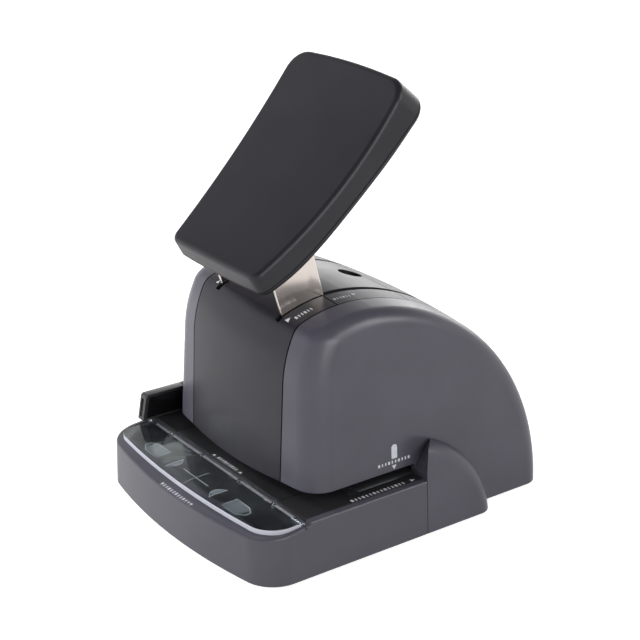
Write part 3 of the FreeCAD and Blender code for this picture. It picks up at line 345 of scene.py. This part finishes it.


def rounded_copy(node_name, radius, finish, body):
    """A copy of a CAD node with its sharp edges rounded, standing for that node."""
    mesh = frame["nodes"][node_name].data.copy()
    mesh.name = node_name + "_rounded"
    work = bmesh.new()
    work.from_mesh(mesh)
    bmesh.ops.remove_doubles(work, verts=work.verts, dist=WELD)
    bmesh.ops.dissolve_limit(work, angle_limit=FLAT_ANGLE, verts=work.verts, edges=work.edges)
    sharp = [edge for edge in work.edges
             if len(edge.link_faces) == 2 and edge.calc_face_angle(0.0) > SHARP_ANGLE]
    bmesh.ops.bevel(work, geom=sharp, offset=radius, segments=3, profile=0.6, affect="EDGES",
                    clamp_overlap=True)
    work.to_mesh(mesh)
    work.free()
    mesh.materials.clear()
    mesh.materials.append(MATERIALS[finish])
    mesh.polygons.foreach_set("use_smooth", [True] * len(mesh.polygons))
    mesh.set_sharp_from_angle(angle=SMOOTH_ANGLE)
    piece = bpy.data.objects.new(node_name + "_rounded", mesh)
    bpy.context.collection.objects.link(piece)
    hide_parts(node_name)
    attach(piece, body)
    return piece


def dress_plate():
    """The clear plate: rounded rims, and frosted walls at the front and right, painted pale so that they
    also stand in for the light they catch (painted highlight).
    """
    mesh = rounded_copy("position_plate", PLATE_ROUND, "clear_plastic", "position_plate").data
    mesh.materials.append(MATERIALS["frosted_edge"])
    frosted = len(mesh.materials) - 1
    for face in mesh.polygons:
        wall = abs(face.normal.z) < PLATE_WALL
        if wall and (face.normal.y < PLATE_FRONT or face.center.x > PLATE_RIGHT_END):
            face.material_index = frosted
    ridges = [bar(start, end, *RIDGE_Y) for start, end in RIDGE_SPANS]
    print_marks("plate_ridges", ridges, surface(["position_plate"]), above_plate, DOWN,
                "frosted_ridge", "position_plate")


# ---------------------------------------------------------------- printed marks
# Marks are drawn in millimetres. Their sizes and their distances to edges are read from the photograph.
def box_edge(node_name, end, axis):
    """Where a node's box starts (end 0) or stops (end 1) on an axis, in millimetres to the micron."""
    return round(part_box(node_name)[end]["XYZ".index(axis)] / MM, 3)


DECK_FRONT = box_edge("deck_plate", 0, "Y")
DECK_RIGHT = box_edge("deck_plate", 1, "X")
PLATE_TOP = box_edge("position_plate", 1, "Z")
ARM_X = box_edge("lever_bracket", 1, "X")      # outer face of the right arm
HEAD_SPLIT = box_edge("front_cover", 1, "Y")   # where front and rear cover meet on the crown
HEAD_BOTTOM = box_edge("head_floor", 0, "Z")   # underside of the head, over the paper slot

DOWN = (0, 0, -1)
LEFTWARD = (-1, 0, 0)
INK_LIFT = 0.03
LONGEST_EDGE = 1.6            # longer edges are split, so that print follows a curved surface
SPLIT_ROUNDS = 4
WIDE_TICK = 0.85              # half widths of the ticks as a share of a row's tick width
NARROW_TICK = 0.5
BAND_INSET = 1.25             # a band's corners go inward by this much of its width

RIDGE_Y = (DECK_FRONT - 4.0, DECK_FRONT - 2.2)    # frosted line along the plate's rear edge
# Its stretches lie between the notches in that edge.
RIDGE_SPANS = ((-64.5, -50.4), (-47.2, -19.4), (-16.4, 16.4), (19.4, 47.2), (50.4, 66.0))


def above_head(x, y):
    return Vector((x, y, 140.0 * MM))


def above_plate(x, y):
    return Vector((x, y, (PLATE_TOP + 6.4) * MM))


def within_plate(x, y):
    return Vector((x, y, (PLATE_TOP - 1.5) * MM))


def right_of_head(y, z):
    return Vector((100.0 * MM, y, z))


def surface(names):
    """Search tree over the named CAD nodes."""
    points = []
    faces = []
    for name in names:
        mesh = frame["nodes"][name].data
        start = len(points)
        points += [vertex.co.copy() for vertex in mesh.vertices]
        faces += [[start + index for index in face.vertices] for face in mesh.polygons]
    return BVHTree.FromPolygons(points, faces)


def print_marks(name, shapes, tree, spot, cast, ink, body="base"):
    """Shapes drawn on a flat sheet and laid on the surface.

    spot turns a place on the sheet into the point that the ray along cast starts from.
    """
    work = bmesh.new()
    for shape in shapes:
        work.faces.new([work.verts.new((x * MM, y * MM, 0.0)) for x, y in shape])
    for _ in range(SPLIT_ROUNDS):
        bmesh.ops.triangulate(work, faces=work.faces)
        long_edges = [edge for edge in work.edges if edge.calc_length() > LONGEST_EDGE * MM]
        if not long_edges:
            break
        bmesh.ops.subdivide_edges(work, edges=long_edges, cuts=1)
    cast = Vector(cast)
    for vert in work.verts:
        start = spot(vert.co.x, vert.co.y)
        hit, normal, _, _ = tree.ray_cast(start, cast)
        if hit is None:
            raise RuntimeError(f"mark {name} misses the surface at {start}")
        if normal.dot(cast) > 0:
            normal = -normal
        vert.co = hit + normal * INK_LIFT * MM
    mesh = bpy.data.meshes.new(name)
    work.to_mesh(mesh)
    work.free()
    mesh.materials.append(MATERIALS[ink])
    piece = bpy.data.objects.new(name, mesh)
    bpy.context.collection.objects.link(piece)
    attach(piece, body)


def bar(x0, x1, y0, y1):
    """Corners of a rectangle."""
    return [(x0, y0), (x1, y0), (x1, y1), (x0, y1)]


def centred_bar(x, y, half_x, half_y):
    """Corners of a rectangle with its middle at x, y."""
    return bar(x - half_x, x + half_x, y - half_y, y + half_y)


def pointer(left, right, base, tip, tip_x=None):
    """Triangle with a level side at base; its tip is over the middle unless tip_x is given."""
    return [(left, base), (right, base), ((left + right) / 2 if tip_x is None else tip_x, tip)]


def band(points, width):
    """Line about width wide along the inside of a closed convex shape, as quads."""
    middle_x = sum(x for x, _ in points) / len(points)
    middle_y = sum(y for _, y in points) / len(points)
    inner = []
    for x, y in points:
        out_x = x - middle_x
        out_y = y - middle_y
        keep = 1.0 - width * BAND_INSET / math.hypot(out_x, out_y)
        inner.append((middle_x + out_x * keep, middle_y + out_y * keep))
    quads = []
    for here in range(len(points)):
        after = (here + 1) % len(points)
        quads.append([points[here], points[after], inner[after], inner[here]])
    return quads


def ticks(start, end, pitch, low, high, width, along_y=False):
    """Row of ticks from start to end, each from low to high; every third one is wider, as on a rule."""
    row = []
    for step in range(int((end - start) / pitch) + 1):
        half = width * (WIDE_TICK if step % 3 == 0 else NARROW_TICK)
        middle = start + step * pitch
        tick = bar(middle - half, middle + half, low, high)
        row.append([(y, x) for x, y in tick] if along_y else tick)
    return row


MARK_Y = DECK_FRONT - 17.9    # the marks under the plate are centred on this line
CROSS_HALF_X = 11.7
CROSS_HALF_Y = 8.0
LONG_LINE_HALF = 0.25         # half widths of the cross's two lines
SHORT_LINE_HALF = 0.2
HOUSE_FOOT = 32.0             # the hole marks: distances of their ends from the middle
HOUSE_SHOULDER = 43.5
HOUSE_TIP = 48.2
HOUSE_HALF = 4.5
TIP_HALF = 1.8
HOUSE_LINE = 0.4
HATCH_X = (33.0, 45.5)        # the hatching inside a house
HATCH_START = -3.6
HATCH_PITCH = 1.3
HATCH_WIDTH = 0.95
HATCH_ROWS = 6
ROUND_X = 21.0                # flat edge of the half-round marks
ROUND_RADIUS = 4.6
ROUND_FLATTENED = 0.85        # their reach towards the middle as a share of the radius
ROUND_STEPS = 12
ROUND_LINE = 0.3
ROUND_EDGE_HALF = 5.6         # the flat edge is drawn longer than the disc is wide
ROUND_EDGE_LINE_HALF = 0.3
ROUND_FILL_X = 20.4
ROUND_FILL_RADIUS = 3.6


def house(side):
    """Outline of a hole mark: a rectangle whose outer end narrows like a roof."""
    lower = [(HOUSE_FOOT, -HOUSE_HALF), (HOUSE_SHOULDER, -HOUSE_HALF), (HOUSE_TIP, -TIP_HALF)]
    upper = [(x, -y) for x, y in reversed(lower)]
    return [(side * x, MARK_Y + y) for x, y in lower + upper]


def half_round(side, x, radius):
    """Half disc on one side of the machine, with its flat edge away from the middle."""
    points = [(side * x, MARK_Y - radius), (side * x, MARK_Y + radius)]
    for step in range(1, ROUND_STEPS):
        turn = math.pi * step / ROUND_STEPS
        reach = radius * ROUND_FLATTENED * math.sin(turn)
        points.append((side * x - side * reach, MARK_Y + radius * math.cos(turn)))
    return points


def plate_marks():
    """Hole and sheet positions under the clear plate: a cross, two houses and two half rounds."""
    tree = surface(["base_shell", "deck_plate"])
    lines = [centred_bar(0.0, MARK_Y, CROSS_HALF_X, LONG_LINE_HALF),
             centred_bar(0.0, MARK_Y, SHORT_LINE_HALF, CROSS_HALF_Y)]
    fills = []
    for side in (-1, 1):
        lines += band(house(side), HOUSE_LINE)
        for row in range(HATCH_ROWS):
            y = MARK_Y + HATCH_START + row * HATCH_PITCH
            fills.append(bar(*sorted(side * x for x in HATCH_X), y, y + HATCH_WIDTH))
        lines += band(half_round(side, ROUND_X, ROUND_RADIUS), ROUND_LINE)
        lines.append(centred_bar(side * ROUND_X, MARK_Y, ROUND_EDGE_LINE_HALF, ROUND_EDGE_HALF))
        fills.append(half_round(side, ROUND_FILL_X, ROUND_FILL_RADIUS))
    print_marks("marks_plate_lines", lines, tree, within_plate, DOWN, "ink_plate")
    print_marks("marks_plate_fills", fills, tree, within_plate, DOWN, "ink_plate_fill")


def deck_marks():
    """Rows on the rim, on the deck before the slot and beside it, with pointers to middle and slot."""
    rim = ticks(-9.4, 18.2, pitch=2.3, low=DECK_FRONT - 33.5, high=DECK_FRONT - 31.4, width=0.8)
    print_marks("marks_rim", rim, surface(["base_shell"]), above_head, DOWN, "ink")
    tree = surface(["deck_plate"])
    front = ticks(-8.2, 8.2, pitch=2.05, low=DECK_FRONT + 0.4, high=DECK_FRONT + 2.4, width=0.8)
    front += [pointer(x - 1.3, x + 1.3, DECK_FRONT + 0.5, DECK_FRONT + 2.5) for x in (-12.4, 12.4)]
    print_marks("marks_deck_front", front, tree, above_head, DOWN, "ink_grey")
    beside = ticks(-35.0, -1.0, pitch=2.3, low=DECK_RIGHT - 3.1, high=DECK_RIGHT - 0.9, width=0.8,
                   along_y=True)
    beside.append(pointer(DECK_RIGHT - 3.1, DECK_RIGHT - 0.7, 2.0, 4.6))
    print_marks("marks_deck_side", beside, tree, above_head, DOWN, "ink_grey")


def crown_marks():
    """Pointers and scales where the lever's arms start and end their stroke."""
    tree = surface(["front_cover", "rear_cover", "side_cover_right", "side_cover_left"])
    start = ticks(HEAD_SPLIT - 21.0, HEAD_SPLIT - 12.0, pitch=1.8, low=ARM_X + 6.2, high=ARM_X + 8.4,
                  width=0.7, along_y=True)
    start.append(pointer(ARM_X + 3.2, ARM_X + 6.3, HEAD_SPLIT - 25.0, HEAD_SPLIT - 22.5, tip_x=ARM_X + 4.6))
    start.append(pointer(-ARM_X - 4.4, -ARM_X - 2.0, HEAD_SPLIT - 24.5, HEAD_SPLIT - 22.4))
    print_marks("marks_start", start, tree, above_head, DOWN, "ink")
    end = ticks(HEAD_SPLIT + 2.4, HEAD_SPLIT + 11.4, pitch=1.8, low=ARM_X + 6.2, high=ARM_X + 8.2,
                width=0.7, along_y=True)
    end.append(pointer(ARM_X + 5.0, ARM_X + 7.4, HEAD_SPLIT + 13.8, HEAD_SPLIT + 16.2))
    print_marks("marks_end", end, tree, above_head, DOWN, "ink_grey")


BULLET_Y = -4.2               # middle of the punch mark on the right cover
BULLET_HALF = 1.8
BULLET_HEAD = 1.7             # height of its round end
BULLET_FOOT = HEAD_BOTTOM + 6.6
BULLET_NECK = HEAD_BOTTOM + 12.6
BULLET_STEPS = 8


def bullet():
    """Upright bar with a round upper end."""
    front = BULLET_Y - BULLET_HALF
    rear = BULLET_Y + BULLET_HALF
    points = [(front, BULLET_FOOT), (rear, BULLET_FOOT), (rear, BULLET_NECK)]
    for step in range(BULLET_STEPS + 1):
        turn = math.pi * step / BULLET_STEPS
        points.append((BULLET_Y + BULLET_HALF * math.cos(turn), BULLET_NECK + BULLET_HEAD * math.sin(turn)))
    points.append((front, BULLET_NECK))
    return points


def slot_marks():
    """Punch place on the right cover: a bullet, a row across and a pointer down to the paper slot."""
    tree = surface(["side_cover_right"])
    shapes = [bullet(), pointer(-5.9, -2.9, HEAD_BOTTOM + 3.0, HEAD_BOTTOM + 0.6)]
    print_marks("marks_slot", shapes, tree, right_of_head, LEFTWARD, "ink")
    row = ticks(-14.0, 6.0, pitch=2.1, low=HEAD_BOTTOM + 4.0, high=HEAD_BOTTOM + 5.6, width=0.75)
    print_marks("marks_slot_row", row, tree, right_of_head, LEFTWARD, "ink")


# ---------------------------------------------------------------- stage
AMBIENT = 0.24                # plain fill from all round
REFLECTED_HORIZON = 1.0       # what glossy surfaces mirror, low down and overhead
REFLECTED_ZENITH = 0.22
SKY_TURNS = (0.24, 0.66)      # sines of the heights between which the one passes into the other
FLOOR_HALF = 6.0
FLOOR_GREY = (0.55, 0.55, 0.55, 1.0)
FLOOR_LIFT = 0.78             # glow seen by the camera near the object
FLOOR_GLOSS_LIFT = 0.45       # glow seen in reflections
FLOOR_FADE = (0.35, 1.3)      # distances between which the glow rises to 1
LIGHT_AIM = (0.0, 0.0, 0.08)
LAMPS = (                     # name, place, width, height, watts, seen in reflections
    ("key", (-1.30, -0.42, 0.62), 0.5, 0.5, 22.0, False),
    ("front", (-0.35, -1.35, 0.62), 0.8, 0.4, 15.0, False),
    ("right", (1.15, -0.10, 0.45), 0.9, 0.7, 7.0, True),
    ("shoulder", (0.85, 0.75, 0.80), 0.5, 0.5, 5.0, True),
    ("back", (-1.00, 1.10, 0.26), 1.6, 0.34, 5.2, True),
)
CAMERA_PLACE = (0.652681, -0.473021, 0.422490)
CAMERA_TARGET = (0.0, -0.0037, 0.096633)
CAMERA_ROLL = -0.137          # degrees
CAMERA_LENS = 93.31           # focal length in mm on the sensor below
CAMERA_SENSOR = 36.0


def make_world():
    """White to the camera; in reflections white round the horizon and grey overhead; a plain fill."""
    world = bpy.data.worlds.new("studio")
    bpy.context.scene.world = world
    world.use_nodes = True
    nodes = world.node_tree.nodes
    links = world.node_tree.links
    background = nodes["Background"]
    background.inputs["Color"].default_value = WHITE
    path = nodes.new("ShaderNodeLightPath")
    direction = nodes.new("ShaderNodeTexCoord")
    height = nodes.new("ShaderNodeSeparateXYZ")
    links.new(direction.outputs["Generated"], height.inputs["Vector"])
    sky = nodes.new("ShaderNodeMapRange")
    sky.interpolation_type = "SMOOTHSTEP"
    sky.inputs["From Min"].default_value = SKY_TURNS[0]
    sky.inputs["From Max"].default_value = SKY_TURNS[1]
    sky.inputs["To Min"].default_value = REFLECTED_HORIZON
    sky.inputs["To Max"].default_value = REFLECTED_ZENITH
    links.new(height.outputs["Z"], sky.inputs["Value"])

    def blend(amount, low, high):
        """low where amount is 0, high where it is 1; either may be a number or a socket."""
        node = nodes.new("ShaderNodeMix")
        links.new(amount, node.inputs["Factor"])
        put(links, node.inputs["A"], low)
        put(links, node.inputs["B"], high)
        return node.outputs["Result"]

    strength = blend(path.outputs["Is Glossy Ray"], AMBIENT, sky.outputs["Result"])
    strength = blend(path.outputs["Is Transmission Ray"], strength, 1.0)
    strength = blend(path.outputs["Is Camera Ray"], strength, 1.0)
    links.new(strength, background.inputs["Strength"])


def floor_material():
    """Pale floor that passes into the white background and still takes the object's shadow."""
    look = Finish("floor")
    look.set(Base_Color=FLOOR_GREY, Roughness=0.85, Specular_IOR_Level=0.1)
    path = look.nodes.new("ShaderNodeLightPath")
    direct = look.math("MAXIMUM", path.outputs["Is Camera Ray"], path.outputs["Is Transmission Ray"])
    distance = look.nodes.new("ShaderNodeVectorMath")
    distance.operation = "LENGTH"
    look.links.new(look.place, distance.inputs[0])
    near_to_far = look.spread(distance.outputs["Value"], FLOOR_FADE, (FLOOR_LIFT, 1.0))
    lift = look.math("MAXIMUM", look.math("MULTIPLY", direct, near_to_far),
                     look.math("MULTIPLY", path.outputs["Is Glossy Ray"], FLOOR_GLOSS_LIFT))
    glow = look.nodes.new("ShaderNodeEmission")
    look.links.new(lift, glow.inputs["Strength"])
    both = look.nodes.new("ShaderNodeAddShader")
    look.links.new(look.shader.outputs["BSDF"], both.inputs[0])
    look.links.new(glow.outputs["Emission"], both.inputs[1])
    look.links.new(both.outputs["Shader"], look.nodes["Material Output"].inputs["Surface"])
    return look.material


def make_floor():
    half = FLOOR_HALF
    mesh = bpy.data.meshes.new("floor")
    corners = [(-half, -half, 0.0), (half, -half, 0.0), (half, half, 0.0), (-half, half, 0.0)]
    mesh.from_pydata(corners, [], [(0, 1, 2, 3)])
    mesh.materials.append(floor_material())
    floor = bpy.data.objects.new("floor", mesh)
    bpy.context.collection.objects.link(floor)


def make_lights():
    for name, place, width, height, watts, mirrored in LAMPS:
        lamp = bpy.data.lights.new(name, "AREA")
        lamp.shape = "RECTANGLE"
        lamp.size = width
        lamp.size_y = height
        lamp.energy = watts
        box = bpy.data.objects.new(name, lamp)
        bpy.context.collection.objects.link(box)
        box.location = place
        box.rotation_euler = (Vector(LIGHT_AIM) - Vector(place)).to_track_quat("-Z", "Y").to_euler()
        box.visible_camera = False
        box.visible_glossy = mirrored


def make_camera():
    """Long lens from the front right, at the photograph's angle."""
    place = Vector(CAMERA_PLACE)
    lens = bpy.data.cameras.new("camera")
    lens.sensor_width = CAMERA_SENSOR
    lens.lens = CAMERA_LENS
    camera = bpy.data.objects.new("camera", lens)
    bpy.context.collection.objects.link(camera)
    turn = (Vector(CAMERA_TARGET) - place).to_track_quat("-Z", "Y").to_matrix()
    turn = turn @ Matrix.Rotation(math.radians(CAMERA_ROLL), 3, "Z")
    camera.matrix_world = Matrix.Translation(place) @ turn.to_4x4()
    bpy.context.scene.camera = camera


# ---------------------------------------------------------------- build
finish_frame()
dress_plate()
for row in ROUNDED:
    rounded_copy(*row)
plate_marks()
deck_marks()
crown_marks()
slot_marks()
make_world()
make_floor()
make_lights()
make_camera()
bpy.context.scene.view_settings.view_transform = "Standard"
